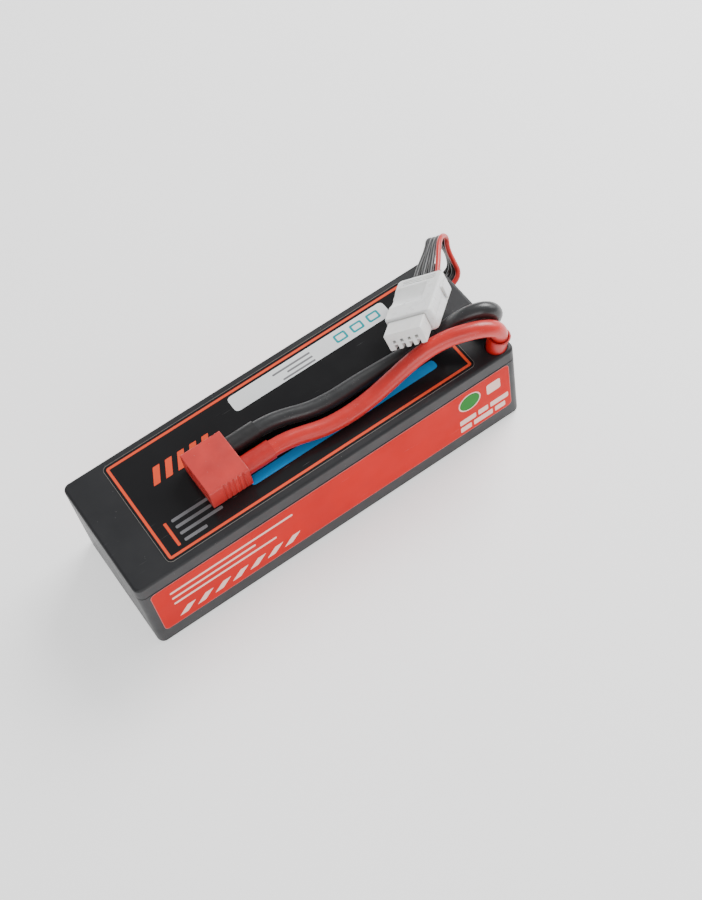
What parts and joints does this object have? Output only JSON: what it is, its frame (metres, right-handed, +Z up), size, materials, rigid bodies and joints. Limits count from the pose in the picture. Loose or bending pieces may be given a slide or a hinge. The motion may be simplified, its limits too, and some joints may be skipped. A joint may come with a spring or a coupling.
{
  "type": "lipo battery pack",
  "caption": "Hard-case lithium polymer pack with red and black power leads, a bladed main connector, and a balance lead whose plug sits in a clip-fit guard.",
  "frame": {"origin": "centre of the underside of the case", "axes": "+X along the pack to the end where the leads come out, -Y to the side with the near label, +Z up"},
  "size_m": [0.1471, 0.053, 0.0559],
  "materials": {
    "case_plastic": "satin moulded black, faint spark texture",
    "black_film": "glossy black printed film",
    "red_film": "satin red-orange printed film",
    "cell_foil": "laminated foil pouch, soft silver",
    "aluminium_tab": "bare foil",
    "nickel_tab": "nickel plated copper",
    "foam": "closed-cell foam",
    "tape": "double-sided tape",
    "board_green": "solder mask over glass laminate",
    "tinned_metal": "tinned copper and solder",
    "red_silicone": "soft silicone, slightly dusty",
    "black_silicone": "soft silicone, slightly dusty",
    "red_sleeve": "shrink tube, low sheen",
    "black_sleeve": "shrink tube, low sheen",
    "black_rubber": "moulded rubber",
    "white_nylon": "milky nylon",
    "clear_white_plastic": "milky, slightly see-through plastic",
    "connector_nylon": "glass-filled nylon",
    "gold_plate": "gold plated"
  },
  "bodies": {
    "pack": {"balance_contacts": "tinned_metal", "balance_grommet": "black_rubber", "balance_plug": "white_nylon", "balance_solder_joints": "tinned_metal", "balance_wire_cell_1": "black_silicone", "balance_wire_cell_2": "black_silicone", "balance_wire_ground": "black_silicone", "balance_wire_positive": "red_silicone", "balance_wire_tips": "tinned_metal", "case_lid": "case_plastic", "case_tub": "case_plastic", "cell_1": "cell_foil", "cell_1_negative_tab": "nickel_tab", "cell_1_positive_tab": "aluminium_tab", "cell_2": "cell_foil", "cell_2_negative_tab": "nickel_tab", "cell_2_positive_tab": "aluminium_tab", "cell_3": "cell_foil", "cell_3_negative_tab": "nickel_tab", "cell_3_positive_tab": "aluminium_tab", "cell_tape_1": "tape", "cell_tape_2": "tape", "end_board": "board_green", "foam_pad_bottom": "foam", "foam_pad_top": "foam", "guard_base": "clear_white_plastic", "main_connector": "connector_nylon", "negative_contact": "gold_plate", "negative_exit_sleeve": "black_sleeve", "negative_joint_core": "tinned_metal", "negative_lead": "black_silicone", "negative_lead_core": "tinned_metal", "negative_lead_solder": "tinned_metal", "negative_shrink_tube": "black_sleeve", "positive_contact": "gold_plate", "positive_exit_sleeve": "red_sleeve", "positive_joint_core": "tinned_metal", "positive_lead": "red_silicone", "positive_lead_core": "tinned_metal", "positive_lead_solder": "tinned_metal", "positive_shrink_tube": "red_sleeve", "side_label_far": "red_film", "side_label_near": "red_film", "top_label": "black_film"},
    "cover": {"guard_cover": "clear_white_plastic"}
  },
  "joints": [
    {"name": "guard_cover_lift", "type": "slide", "parent": "pack", "child": "cover", "axis": [-0.064, 0.4972, 0.8653], "range_m": [0, 0.012]}
  ]
}
